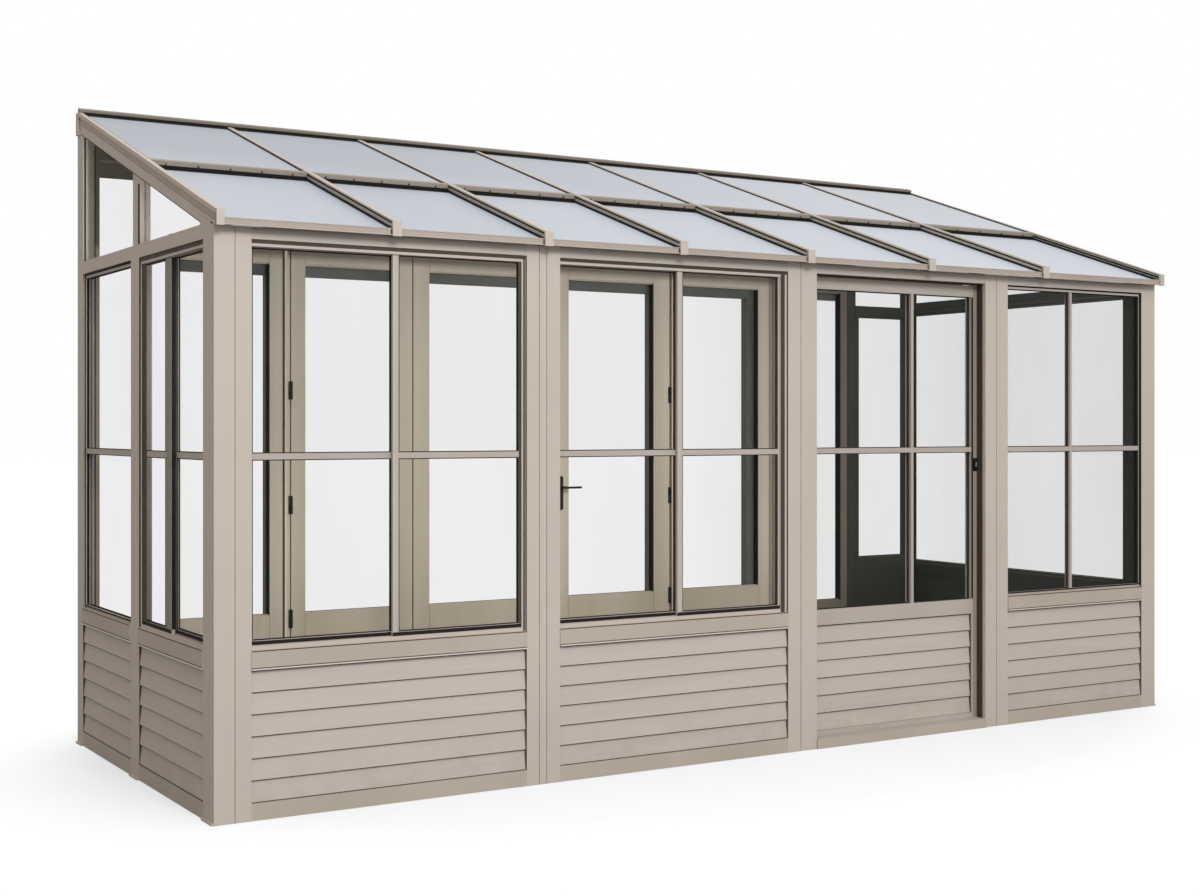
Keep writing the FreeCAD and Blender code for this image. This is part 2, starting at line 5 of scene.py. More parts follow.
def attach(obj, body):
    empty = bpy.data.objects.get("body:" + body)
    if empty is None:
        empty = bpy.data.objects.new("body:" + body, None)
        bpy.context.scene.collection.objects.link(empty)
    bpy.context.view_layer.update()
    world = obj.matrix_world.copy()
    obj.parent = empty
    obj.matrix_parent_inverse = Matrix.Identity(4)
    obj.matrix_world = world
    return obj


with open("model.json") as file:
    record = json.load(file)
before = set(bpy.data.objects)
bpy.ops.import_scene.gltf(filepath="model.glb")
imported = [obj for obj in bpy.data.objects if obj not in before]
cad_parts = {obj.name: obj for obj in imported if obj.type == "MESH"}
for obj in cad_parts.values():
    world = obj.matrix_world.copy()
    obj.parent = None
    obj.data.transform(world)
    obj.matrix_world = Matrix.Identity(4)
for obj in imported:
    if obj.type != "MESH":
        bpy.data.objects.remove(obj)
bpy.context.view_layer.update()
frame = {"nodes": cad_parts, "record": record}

NODES = frame["nodes"]
SC = bpy.context.scene

# Lengths below are millimetres from the front left floor corner.
W, D, OX, OY = 4800.0, 1811.0, 2400.0, 878.5
PITCH = math.radians(18.8)
EAVE_Y, EAVE_Z = -48.0, 2133.0


def pt(x, y, z):
    return Vector(((x - OX) / 1000, (y - OY) / 1000, z / 1000))


def spt(x, s, n):
    """A point on the roof: s up the slope, n square to it."""
    c, k = math.cos(PITCH), math.sin(PITCH)
    return pt(x, EAVE_Y + s * c - n * k, EAVE_Z + s * k + n * c)


# --- materials -----------------------------------------------------------
def srgb(h):
    v = [int(h[i:i + 2], 16) / 255 for i in (0, 2, 4)]
    return tuple([c / 12.92 if c <= 0.04045 else ((c + 0.055) / 1.055) ** 2.4 for c in v] + [1.0])


class Mat:
    """A principled material with a few shorthand node makers."""

    def __init__(self, name):
        self.m = bpy.data.materials.new(name)
        self.m.use_nodes = True
        self.nt = self.m.node_tree
        self.b = self.nt.nodes["Principled BSDF"]
        self.tc = self.nt.nodes.new("ShaderNodeTexCoord")
        self.split = {}

    def node(self, kind, **kw):
        n = self.nt.nodes.new(kind)
        for k, v in kw.items():
            setattr(n, k, v)
        return n

    def link(self, a, b):
        self.nt.links.new(a, b)

    def mapped(self, scale, rot=(0, 0, 0)):
        m = self.node("ShaderNodeMapping")
        m.inputs["Scale"].default_value = scale
        m.inputs["Rotation"].default_value = rot
        self.link(self.tc.outputs["Object"], m.inputs["Vector"])
        return m.outputs["Vector"]

    def axis(self, space, letter):
        """One letter of the object-space place ("Object") or facing ("Normal")."""
        if space not in self.split:
            sep = self.node("ShaderNodeSeparateXYZ")
            self.link(self.tc.outputs[space], sep.inputs[0])
            self.split[space] = sep
        return self.split[space].outputs[letter]

    def noise(self, scale, detail=3, rough=0.55, vec=None, distortion=0.0):
        n = self.node("ShaderNodeTexNoise")
        n.inputs["Scale"].default_value = scale
        n.inputs["Detail"].default_value = detail
        n.inputs["Roughness"].default_value = rough
        n.inputs["Distortion"].default_value = distortion
        self.link(vec if vec is not None else self.tc.outputs["Object"], n.inputs["Vector"])
        return n.outputs["Fac"]

    def ramp(self, fac, stops):
        r = self.node("ShaderNodeValToRGB")
        e = r.color_ramp.elements
        while len(e) < len(stops):
            e.new(0.5)
        for i, (p, c) in enumerate(stops):
            e[i].position = p
            e[i].color = c if len(c) == 4 else (*c, 1)
        self.link(fac, r.inputs["Fac"])
        return r.outputs["Color"]

    def remap(self, fac, a, b, c, d):
        m = self.node("ShaderNodeMapRange")
        for k, v in zip(("From Min", "From Max", "To Min", "To Max"), (a, b, c, d)):
            m.inputs[k].default_value = v
        self.link(fac, m.inputs["Value"])
        return m.outputs["Result"]

    def mix(self, fac, a, b, blend="MIX"):
        m = self.node("ShaderNodeMix", data_type="RGBA", blend_type=blend)
        for sock, v in ((m.inputs[0], fac), (m.inputs[6], a), (m.inputs[7], b)):
            if isinstance(v, (int, float)):
                sock.default_value = v
            elif isinstance(v, tuple):
                sock.default_value = v
            else:
                self.link(v, sock)
        return m.outputs[2]

    def maths(self, op, a, b=0.5):
        m = self.node("ShaderNodeMath", operation=op)
        for sock, v in ((m.inputs[0], a), (m.inputs[1], b)):
            if isinstance(v, (int, float)):
                sock.default_value = v
            else:
                self.link(v, sock)
        return m.outputs[0]

    def bump(self, height, strength, dist=0.001, chain=None):
        n = self.node("ShaderNodeBump")
        n.inputs["Strength"].default_value = strength
        n.inputs["Distance"].default_value = dist
        self.link(height, n.inputs["Height"])
        if chain is not None:
            self.link(chain, n.inputs["Normal"])
        return n.outputs["Normal"]

    def set(self, **kw):
        names = {"color": "Base Color", "rough": "Roughness", "metal": "Metallic", "alpha": "Alpha", "normal": "Normal",
                 "spec": "Specular IOR Level", "ior": "IOR", "coat": "Coat Weight", "coat_rough": "Coat Roughness",
                 "trans": "Transmission Weight", "sheen": "Sheen Weight", "sub": "Subsurface Weight"}
        for k, v in kw.items():
            s = self.b.inputs[names[k]]
            if isinstance(v, (int, float, tuple)):
                s.default_value = v
            else:
                self.link(v, s)
        return self.m


def paint(name, hexes, rough=0.45, peel=0.05, streak=(1, 1, 1), dirt=0.0, wear=None, inside=None, far_shade=None, far_shade_x=(1.30, 1.34), near_shade=None,
          low_tone_head_shade=None, eave_shade=False):
    """Satin paint: slow tone drift, orange peel, scuffed edges, a little dust low down, and,
    where inside is given, that colour on the faces that look into the room; where far_shade is
    given, a painted shade towards the right end of the rear wall, and where near_shade is given,
    another painted shade at its left end; low_tone_head_shade is a tone mixed in more strongly
    towards the floor, and with it comes a painted shade at the head."""
    k = Mat(name)
    lo, mid, hi = (srgb(h) for h in hexes)
    drift = k.noise(1.3, 4, 0.6, k.mapped(streak))
    col = k.ramp(drift, [(0.25, lo), (0.5, mid), (0.78, hi)])
    speck = k.noise(420, 2, 0.5)
    col = k.mix(k.remap(speck, 0.35, 0.65, 0.0, 0.07), col, (0.05, 0.045, 0.04, 1))
    if dirt:
        low = k.remap(k.axis("Object", "Z"), 0.0, 0.30, 1.0, 0.0)
        mask = k.maths("MULTIPLY", low, k.remap(k.noise(9, 5, 0.65), 0.3, 0.7, 0.1, 1.0))
        col = k.mix(k.maths("MULTIPLY", mask, dirt), col, srgb("7d7265"))
    if wear:
        geo = k.node("ShaderNodeNewGeometry")
        edge = k.remap(geo.outputs["Pointiness"], 0.53, 0.62, 0.0, 1.0)
        col = k.mix(k.maths("MULTIPLY", edge, 0.4), col, srgb(wear))
    if inside:
        x, y = k.axis("Object", "X"), k.axis("Object", "Y")
        nx, ny = k.axis("Normal", "X"), k.axis("Normal", "Y")

        def both(*tests):
            m = None
            for src, op, v in tests:
                t = k.maths(op, src, v)
                m = t if m is None else k.maths("MULTIPLY", m, t)
            return m

        m = both((x, "GREATER_THAN", 2.28), (nx, "LESS_THAN", -0.5))
        for other in (both((x, "LESS_THAN", -2.28), (nx, "GREATER_THAN", 0.5)),
                      both((y, "LESS_THAN", -0.72), (ny, "GREATER_THAN", 0.5)),
                      both((x, "GREATER_THAN", 2.28), (y, "GREATER_THAN", 0.82), (ny, "LESS_THAN", -0.5))):
            m = k.maths("MAXIMUM", m, other)
        shade = k.ramp(drift, [(0.25, srgb(inside[0])), (0.78, srgb(inside[1]))])
        col = k.mix(m, col, shade)
    if far_shade:
        # painted shade towards the right end of the rear wall
        col = k.mix(k.remap(k.axis("Object", "X"), *far_shade_x, 0.0, 1.0), col, k.ramp(drift, [(0.25, srgb(far_shade[0])), (0.78, srgb(far_shade[1]))]))
    if near_shade:
        # painted shade on the left end of the rear wall, on faces that do not look to the rear
        left = k.maths("MULTIPLY", k.remap(k.axis("Object", "X"), -1.9990, -1.9984, 1.0, 0.0), k.maths("LESS_THAN", k.axis("Normal", "Y"), 0.5))
        col = k.mix(left, col, k.ramp(drift, [(0.25, srgb(near_shade[0])), (0.78, srgb(near_shade[1]))]))
    if low_tone_head_shade:
        # a tone mixed in more strongly towards the floor
        col = k.mix(k.remap(k.axis("Object", "Z"), 0.35, 1.35, 0.26, 0.04), col, srgb(low_tone_head_shade))
        # painted shade: darker at the head, above 2.149 m
        col = k.mix(k.remap(k.axis("Object", "Z"), 2.149, 2.183, 0.0, 0.74), col, srgb("2b2619"))
    if eave_shade:
        # painted shade: darker at the top of the header, under the fascia
        col = k.mix(k.remap(k.axis("Object", "Z"), 2.070, 2.083, 0.0, 0.35), col, srgb("4c4238"))
    r = k.remap(k.noise(26, 4, 0.6), 0.3, 0.7, rough - 0.07, rough + 0.09)
    n = k.bump(k.noise(650, 2, 0.5), peel, 0.0006)
    n = k.bump(k.noise(5, 3, 0.5), 0.03, 0.004, n)
    return k.set(color=col, rough=r, normal=n, spec=0.38)


def boards_mat(name, hexes, along):
    """Painted lap board: faint long brush marks, a tint of its own for each board."""
    k = Mat(name)
    lo, mid, hi = (srgb(h) for h in hexes)
    stretch = [90, 90, 90]
    stretch[along] = 1.6
    vec = k.mapped(tuple(stretch))
    grain = k.noise(1.0, 5, 0.6, vec, 0.4)
    fine = k.noise(4.0, 3, 0.6, vec, 0.2)
    geo = k.node("ShaderNodeNewGeometry")
    tint = k.remap(geo.outputs["Random Per Island"], 0, 1, -0.08, 0.08)
    f = k.maths("ADD", k.maths("ADD", k.remap(grain, 0.25, 0.75, 0.40, 0.60), tint), k.remap(fine, 0.3, 0.7, -0.05, 0.05))
    col = k.ramp(f, [(0.15, lo), (0.5, mid), (0.85, hi)])
    low = k.maths("MULTIPLY", k.remap(k.axis("Object", "Z"), 0.05, 0.3, 0.3, 0.0), k.remap(k.noise(8, 5, 0.65), 0.3, 0.7, 0.0, 1.0))
    col = k.mix(low, col, srgb("83786c"))
    n = k.bump(grain, 0.06, 0.0010)
    n = k.bump(fine, 0.05, 0.0005, n)
    return k.set(color=col, rough=k.remap(grain, 0.3, 0.7, 0.46, 0.60), normal=n, spec=0.32)


def glass_mat(name, tint, alpha):
    """Thin window glass: a clear sheet with a faint grey cast and slow wiping marks."""
    k = Mat(name)
    smear = k.noise(2.2, 5, 0.6, k.mapped((1, 1, 0.35)))
    a = k.maths("MULTIPLY", k.remap(smear, 0.3, 0.7, 0.88, 1.12), k.remap(k.axis("Object", "X"), 0.8, 1.3, alpha[0], alpha[1]))
    col = k.ramp(smear, [(0.3, srgb(tint[0])), (0.7, srgb(tint[1]))])
    n = k.bump(k.noise(1.6, 2, 0.4), 0.012, 0.01)
    return k.set(color=col, rough=k.remap(k.noise(30, 4, 0.6), 0.35, 0.65, 0.02, 0.06), alpha=a, normal=n, spec=0.5)


def opal_mat(name):
    """Opal multiwall sheet: flutes up the slope, faint cloudiness, a little dust."""
    k = Mat(name)
    flute = k.maths("SINE", k.maths("MULTIPLY", k.axis("Object", "X"), 2 * math.pi / 0.016), 0)
    cloud = k.noise(0.9, 4, 0.55, k.mapped((1, 0.55, 1)))
    col = k.ramp(cloud, [(0.25, srgb("9fa8b6")), (0.5, srgb("a5aebc")), (0.78, srgb("abb4c1"))])
    # painted light and shade across the roof: lighter towards the right end, darker on the upper row, most at the left
    col = k.mix(k.remap(k.axis("Object", "X"), -1.6, 1.4, 0.0, 0.85), col, srgb("b7c1cf"))
    upper_row_shade = k.maths("MULTIPLY", k.remap(k.axis("Object", "Y"), -0.25, 0.25, 0.0, 0.45), k.remap(k.axis("Object", "X"), -1.3, 1.3, 1.0, 0.1))
    col = k.mix(upper_row_shade, col, srgb("8e97a4"))
    line = k.remap(flute, 0.86, 1.0, 0.0, 0.10)
    col = k.mix(line, col, srgb("7f8897"))
    dust = k.remap(k.noise(36, 6, 0.7), 0.58, 0.78, 0.0, 0.16)
    col = k.mix(dust, col, srgb("9a9a98"))
    n = k.bump(flute, 0.04, 0.0006)
    return k.set(color=col, rough=k.remap(cloud, 0.3, 0.7, 0.42, 0.54), normal=n, spec=0.30)


def rubber_mat(name):
    k = Mat(name)
    n1 = k.noise(90, 4, 0.6)
    col = k.ramp(n1, [(0.3, srgb("100f0c")), (0.7, srgb("1f1d18"))])
    return k.set(color=col, rough=k.remap(n1, 0.3, 0.7, 0.6, 0.8), normal=k.bump(n1, 0.12, 0.0006), spec=0.2)


def metal_mat(name, hexes, metal, rough, along=None):
    k = Mat(name)
    s = [60, 60, 60]
    if along is not None:
        s[along] = 1.5
    brush = k.noise(4, 5, 0.6, k.mapped(tuple(s)))
    col = k.ramp(brush, [(0.3, srgb(hexes[0])), (0.7, srgb(hexes[1]))])
    n = k.bump(brush, 0.08, 0.0004)
    return k.set(color=col, metal=metal, rough=k.remap(brush, 0.3, 0.7, rough - 0.06, rough + 0.08), normal=n)


DARK = ("2a2b26", "33342e")
TAUPE = ("9c958f", "a49d97", "aba49e")
M = {
    "taupe": paint("taupe_coat", TAUPE, 0.46, 0.04, dirt=0.18, wear="c3b9af"),
    "taupe_in": paint("taupe_coat_dark_inside", TAUPE, 0.46, 0.04, dirt=0.18, wear="c3b9af", inside=DARK),
    "dark": paint("dark_inside", (DARK[0], "2f302a", DARK[1]), 0.55, 0.04),
    # a darker copy of the taupe coat: painted shade on the purlin face; also the colour of the rake grooves
    "dim": paint("taupe_deep_and_shaded", ("625b53", "6b645b", "746d63"), 0.5, 0.04, wear="b4aaa0"),
    "sill": paint("taupe_coat_sill", ("9f968c", "a79e94", "aea59b"), 0.46, 0.04, inside=DARK),
    # a lighter copy of the taupe coat: painted light on the header, darkened at the top with painted shade
    "header": paint("header_coat_lit_copy", ("a29b94", "aaa39c", "b1aaa3"), 0.46, 0.04, inside=DARK, eave_shade=True),
    # dark brown: painted shade in window recesses, on meeting stiles and in the door reveals; also the colour of dark
    # joints and seals
    "brown": paint("brown_shade_and_joints", ("2e2720", "383027", "41382f"), 0.6, 0.04),
    # khaki frame paint: painted shade at the right end and at the left end of the rear wall; darker towards the floor,
    # with painted shade at the head
    "khaki_far": paint("khaki_frame", ("a89e8d", "b2a897", "bbb2a1"), 0.46, 0.06, (6, 6, 0.5), wear="c9c0ad", far_shade=("5f5b51", "6c675c"), near_shade=("797265", "857d70"), low_tone_head_shade="6f6657"),
    # rear frame coat, with painted shade on the right-hand rear corner post
    "rear": paint("rear_frame_coat", ("5c5e59", "666862", "70726c"), 0.5, 0.05, far_shade=("2d2d28", "383832"), far_shade_x=(1.860, 1.863)),
    # khaki leaf paint: darker towards the floor, with painted shade at the head
    "khaki": paint("khaki_leaf", ("a89e8d", "b2a897", "bbb2a1"), 0.46, 0.06, (6, 6, 0.5), wear="c9c0ad", low_tone_head_shade="6f6657"),
    "board_x": boards_mat("board_front_grain", ("a39b94", "ada59e", "b6aea7"), 0),
    "board_y": boards_mat("board_end_grain", ("a39b94", "ada59e", "b6aea7"), 1),
    "glass": glass_mat("window_glass", ("1c2122", "2a3031"), (0.05, 0.09)),
    "opal": opal_mat("roof_opal_sheet"),
    "rubber": rubber_mat("gasket_rubber"),
    "black": metal_mat("black_hardware", ("15140f", "24221d"), 0.35, 0.42),
    "rafter": metal_mat("rafter_flank", ("1f1e1b", "302e2a"), 0.3, 0.5, 1),
    "rib": metal_mat("rafter_rib", ("a9a498", "c4beb1"), 0.2, 0.45, 1),
    # a lighter copy of the taupe coat: painted highlight on the sill beads
    "cover_taupe": paint("bead_coat_highlight", ("bab3ac", "c2bbb4", "c9c2bb"), 0.44, 0.04),
    # a darker copy of the taupe coat: painted shade on the ridge bar
    "ridge": paint("ridge_coat_shaded", ("57534c", "605b53", "69645b"), 0.5, 0.04, wear="9c948a"),
    # a browner copy of the taupe coat: painted shade on the upper rake face, under the cap
    "band": paint("rake_band_shade", ("9d9083", "a5988b", "ad9f92"), 0.5, 0.04),
    "stile": paint("lock_stile_coat", ("857a70", "8d8278", "958a80"), 0.5, 0.04),
    "shade": paint("inner_reveal_painted_shade", ("77736a", "807b71", "898479"), 0.5, 0.04),
    "fascia": paint("fascia_coat", ("958c84", "9d948c", "a49b93"), 0.46, 0.04),
    "cover": paint("khaki_cover", ("bab09f", "c3baa9", "ccc3b2"), 0.46, 0.06),
    "lapdark": paint("lap_shadow", ("3b342d", "453d35", "4e463d"), 0.7, 0.03),
    "steel": metal_mat("brushed_bright", ("aaa79f", "d3d1cb"), 0.9, 0.32, 2),
    "track": metal_mat("track_satin", ("8d8378", "a79c91"), 0.45, 0.42, 0),
}

SLOT_MAT = {"frame_paint": "taupe", "rafter_metal": "rafter", "lining": "dark", "glass": "glass", "roof_opal": "opal",
            "rear_paint": "rear", "leaf_paint": "khaki", "track_metal": "track", "black_metal": "black",
            "bright_metal": "steel", "board_vinyl": "board_x"}
TWO_TONE = {"posts_front_corner", "posts_front_mid", "posts_end_mid", "posts_rear_corner", "header_front", "tie_beams",
            "sill_rails", "base_rails", "gable_mullions", "fixed_frames", "slider_frame_one", "slider_frame_two",
            "slider_frame_end", "rake_beams"}

for sub in frame["record"]["subparts"]:
    o = NODES[sub["node"]]
    key = SLOT_MAT[sub["material_slot"]]
    if sub["node"] == "boards_ends":
        key = "board_y"
    if sub["node"] in TWO_TONE:
        key = "taupe_in"
    key = {"purlin_bars": "dim", "ridge_bar": "ridge", "eave_fascia": "fascia", "sill_rails": "sill", "base_rails": "sill", "door_sill_track": "sill", "header_front": "header", "rear_fixed_frames": "khaki_far", "door_pull": "black"}.get(sub["node"], key)
    while len(o.material_slots) < 1:
        o.data.materials.append(M[key])
    for slot in o.material_slots:
        slot.material = M[key]
    if key not in ("glass", "opal"):
        b = o.modifiers.new("edge", "BEVEL")
        b.width = 0.0016
        b.segments = 2
        b.limit_method = "ANGLE"
        b.angle_limit = math.radians(40)

# --- piece makers --------------------------------------------------------
def add_box(bm, corners, bevel):
    """An eight-cornered block, with eased edges."""
    vs = [bm.verts.new(c) for c in corners]
    fs = [bm.faces.new([vs[i] for i in f]) for f in
          ((0, 3, 2, 1), (4, 5, 6, 7), (0, 1, 5, 4), (1, 2, 6, 5), (2, 3, 7, 6), (3, 0, 4, 7))]
    if bevel:
        es = list({e for f in fs for e in f.edges})
        bmesh.ops.bevel(bm, geom=es, offset=bevel / 1000, segments=2, profile=0.5, affect="EDGES")


def corners_of(at, a, b):
    (x0, y0, z0), (x1, y1, z1) = a, b
    return [at(x0, y0, z0), at(x1, y0, z0), at(x1, y1, z0), at(x0, y1, z0),
            at(x0, y0, z1), at(x1, y0, z1), at(x1, y1, z1), at(x0, y1, z1)]


def piece(name, bm, mat, body, smooth=False):
    bmesh.ops.recalc_face_normals(bm, faces=bm.faces)
    me = bpy.data.meshes.new(name)
    bm.to_mesh(me)
    bm.free()
    me.materials.append(M[mat])
    o = bpy.data.objects.new(name, me)
    SC.collection.objects.link(o)
    if smooth:
        for p in me.polygons:
            p.use_smooth = True
    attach(o, body)
    return o


def bars(name, boxes, mat, body="frame", bevel=0.6, at=pt):
    """One piece of many eased bars; each box is x0, x1, y0, y1, z0, z1."""
    bm = bmesh.new()
    for x0, x1, y0, y1, z0, z1 in boxes:
        add_box(bm, corners_of(at, (x0, y0, z0), (x1, y1, z1)), bevel)
    return piece(name, bm, mat, body)


# --- glazing gaskets -----------------------------------------------------
def ring_boxes(side, u0, u1, z0, z1, t0, t1, w):
    out = []
    for a, b, c, d in ((u0, u1, z0, z0 + w), (u0, u1, z1 - w, z1), (u0, u0 + w, z0 + w, z1 - w), (u1 - w, u1, z0 + w, z1 - w)):
        if side == "front":
            out.append((a, b, t0, t1, c, d))
        elif side == "left":
            out.append((t0, t1, a, b, c, d))
        else:
            out.append((W - t1, W - t0, a, b, c, d))
    return out


def lights(u0, u1, z0, z1, cross=None):
    cols = [(u0, u1)] if cross is None else [(u0, cross - 7), (cross + 7, u1)]
    return [(a, b, c, d) for a, b in cols for c, d in ((z0, 1267), (1289, z1))]


def gaskets(name, side, holes, mid, half, body):
    boxes = []
    for u0, u1, z0, z1 in holes:
        boxes += ring_boxes(side, u0, u1, z0, z1, mid - half - 3, mid - half, 3.5)
        boxes += ring_boxes(side, u0, u1, z0, z1, mid + half, mid + half + 3, 3.5)
    return bars(name, boxes, "rubber", body, bevel=0.5)


HEAD, SILL = 2042, 598
FRONT = [(136, 1240), (1388, 2509), (2664, 3653), (3795, 4704)]
ENDS = {"left": [(116, 890), (999, 1723)], "right": [(116, 1170), (1262, 1723)]}
OUT_LO, OUT_HI, IN_LO, IN_HI = 628, 2016, 629, 2015
FIX_LO, FIX_HI = 612, 2026


def on_wall(side, u0, u1, t0, t1, z0, z1):
    if side == "front":
        return (u0, u1, t0, t1, z0, z1)
    if side == "left":
        return (t0, t1, u0, u1, z0, z1)
    return (W - t1, W - t0, u0, u1, z0, z1)


gaskets("gasket_fixed_one", "front", lights(706, 1211, OUT_LO, OUT_HI), 19, 3, "frame")
gaskets("gasket_fixed_two", "front", lights(1973, 2462, OUT_LO, OUT_HI), 19, 3, "frame")
gaskets("gasket_fixed_end", "left", lights(577, 873, OUT_LO, OUT_HI), 19, 3, "frame")
gaskets("gasket_sash_one", "front", lights(149, 685, IN_LO, IN_HI), 38, 3, "sash_one")
gaskets("gasket_sash_two", "front", lights(1401, 1952, IN_LO, IN_HI), 38, 3, "sash_two")
gaskets("gasket_sash_end", "left", lights(134, 513, IN_LO, IN_HI), 38, 3, "sash_end")
gaskets("gasket_bay_four", "front", lights(3804, 4695, FIX_LO, FIX_HI, 4223), 28, 3, "frame")
gaskets("gasket_left_rear", "left", lights(1008, 1714, FIX_LO, FIX_HI), 28, 3, "frame")
gaskets("gasket_right_front", "right", [(125, 1161, FIX_LO, FIX_HI)], 28, 3, "frame")
gaskets("gasket_right_rear", "right", [(1271, 1714, FIX_LO, FIX_HI)], 28, 3, "frame")
gaskets("gasket_door", "front", lights(2698, 3619, 588, 1982, 3258), 76, 3, "sliding_door")

# --- window seals, and dark brown strips of painted shade in the head recesses, at the jambs and meeting stiles and along the sill edges ---
shade, seals = [], []
SLIDERS = (("front", 136, 1240), ("front", 1388, 2509), ("left", 116, 890))
for side, a, b in SLIDERS:
    shade.append(on_wall(side, a + 1, b - 1, 3.4, 6.2, HEAD - 13, HEAD))
for u0, u1 in ((1227, 1233), (1236.5, 1239.5), (2473, 2493), (2505, 2508.5)):
    shade.append((u0, u1, 3.4, 6.2, SILL + 0.5, HEAD - 13))
shade.append((1211.5, 1219.5, 9.3, 12.2, OUT_LO, OUT_HI + 2))
shade.append(on_wall("left", 826, 881, 9.3, 12.2, OUT_LO, OUT_HI + 2))
for side, a, b in SLIDERS + (("front", 3795, 4704), ("left", 999, 1723), ("right", 116, 1170), ("right", 1262, 1723)):
    shade.append(on_wall(side, a + 1, b - 1, -4.7, -3.9, SILL - 4.5, SILL - 1))
for side, a, b in (("front", 682, 1220), ("front", 1949, 2471), ("left", 513, 882)):
    seals.append(on_wall(side, a, b, 9.3, 12.2, 613.5, 626))
for side, a, b in (("front", 3795, 4704), ("left", 999, 1723), ("right", 116, 1170), ("right", 1262, 1723)):
    seals.append(on_wall(side, a + 1, b - 1, 9.3, 12.2, HEAD - 6, HEAD))
    seals.append(on_wall(side, a + 1, b - 1, 9.3, 12.2, 606, FIX_LO))
    seals.append(on_wall(side, b - 5, b - 1, 9.3, 12.2, FIX_LO, HEAD - 6))
bars("window_seals", seals, "rubber", bevel=0.5)
bars("window_reveal_shade", shade, "brown", bevel=0.5)
for body, side, a, b, meet in (("sash_one", "front", 140, 709, (685, 703)), ("sash_two", "front", 1392, 1976, (1952, 1970)),
                               ("sash_end", "left", 125, 577, (514, 576))):
    bars(body + "_pile", [on_wall(side, a + 2, b - 2, 28.8, 31.2, 614, 626.5)], "rubber", body, bevel=0.5)
    # a dark brown strip on each inner sash's meeting stile: painted shade
    bars(body + "_meeting_seal", [on_wall(side, *meet, 28.8, 31.2, 630, 2014)], "brown", body, bevel=0.5)
bars("door_lock_seal", [(3619.2, 3629, 54.6, 56.2, 590, 1980)], "rubber", "sliding_door", bevel=0.4)
bars("door_lock_strip", [(3629.4, 3652.4, 54.8, 56.2, 46, 1174), (3629.4, 3652.4, 54.8, 56.2, 1243, 2028)], "stile", "sliding_door", bevel=0.5)
bars("door_pull_insert", [(3636.5, 3643.5, 44.6, 47.2, 1198, 1219), (3638, 3642, 44, 46, 1202, 1215)], "steel", "sliding_door", bevel=0.8)
# brown brush strips at the door head and jambs; on the jambs they are also painted shade in the reveals
bars("door_brushes_and_reveal_shade", [(2666, 3651, 28, 50, HEAD - 5, HEAD), (3649.6, 3653, 18, 50, 42, HEAD - 5),
                      (2664, 2667, 14, 50, 42, HEAD - 5)], "brown", bevel=0.8)

# --- end walls: painted shade, in black and in a darker grey-taupe, on the faces of the rear and mid posts, on the reveals, stiles and jambs, and beside the posts
black_shade_strips, taupe_shade_strips = [], []
for s in ("left", "right"):
    rear = 1723
    black_shade_strips.append(on_wall(s, rear - 1.3, rear + 0.1, 6, 12.5, 2100, 2634))
    taupe_shade_strips.append(on_wall(s, rear - 1.3, rear + 0.1, 28.6, 49.6, 2100, 2624))
    taupe_shade_strips.append(on_wall(s, rear - 1.3, rear + 0.1, 1, 11.4, 600, 2043))
    black_shade_strips.append(on_wall(s, rear - 10.5, rear - 8.9, 15, 24.6, FIX_LO, FIX_HI))
    taupe_shade_strips.append(on_wall(s, rear - 10.5, rear - 8.9, 34.4, 43.6, FIX_LO, FIX_HI))
black_shade_strips += [(1, 11.4, 888.7, 890.1, 600, 2043), (12.6, 25.4, 511.7, 513.1, OUT_LO, OUT_HI), (2.7, 4.2, 893, 912, 2100, 2335),
              (W - 4.2, W - 2.7, 1173, 1192, 2100, 2425)]
taupe_shade_strips += [(27, 46.6, 880.5, 882.1, 613, 2017), (10.7, 12.2, 515, 575, 606.5, 2031.5)]
bars("end_wall_black_shade", black_shade_strips, "rubber", bevel=0.4)
bars("end_wall_taupe_shade", taupe_shade_strips, "shade", "frame", bevel=0.4)

# --- lap boards, in painted shade: the strip under each lap, a dark strip over the gap at its right end, dark lines along the top and the foot of the boards; then the bead over the top one
def laps(side, u0, u1, back, top, pitch):
    out = [on_wall(side, u0 + 0.5, u1 - 0.5, back - 10, back - 4, top - pitch * i - 2.6, top - pitch * i) for i in range(1, 6)]
    out.append(on_wall(side, u1 - 5.5, u1 - 0.5, back - 12.8, back - 3, top - pitch * 6 + 1, top - 6))
    out.append(on_wall(side, u0 + 0.5, u1 - 0.5, back - 5.2, back - 3.5, top - 5.5, top))
    out.append(on_wall(side, u0 + 0.5, u1 - 0.5, back - 14.6, back - 11, top - pitch * 6 - 2.6, top - pitch * 6 + 0.4))
    return out


bars("lap_strips_front", [b for i in (0, 1, 3) for b in laps("front", *FRONT[i], 14, 529, 77.3)], "lapdark", bevel=0)
bars("lap_strips_ends", [b for s in ENDS for e in ENDS[s] for b in laps(s, *e, 14, 529, 77.3)], "lapdark", bevel=0)
bars("lap_strips_door", laps("front", 2698, 3619, 72, 521, 76), "lapdark", "sliding_door", bevel=0)
LOW_WALLS = [("front", *FRONT[i]) for i in (0, 1, 3)] + [(s, *e) for s in ENDS for e in ENDS[s]]
# the sill beads, in a lighter copy of the taupe: painted highlight
bars("sill_beads", [on_wall(s, a + 0.5, b - 0.5, -7.0, 13.5, 528.2, 533.4) for s, a, b in LOW_WALLS], "cover_taupe", "frame",
     bevel=1.6)
# a dark line under the sill's front edge: painted shade
bars("sill_lines", [on_wall(s, a + 0.5, b - 0.5, -4.8, -3.9, 534.2, 537) for s, a, b in LOW_WALLS], "lapdark", "frame", bevel=0.2)

bars("post_shoes", [on_wall(s, a + 1, b - 1, -9, 1, 0, 8.5) for s, mids in (("left", (890, 999)), ("right", (1170, 1262)))
                    for a, b in ((0, 116), mids, (1723, 1811))], "sill", "frame", bevel=1.5)

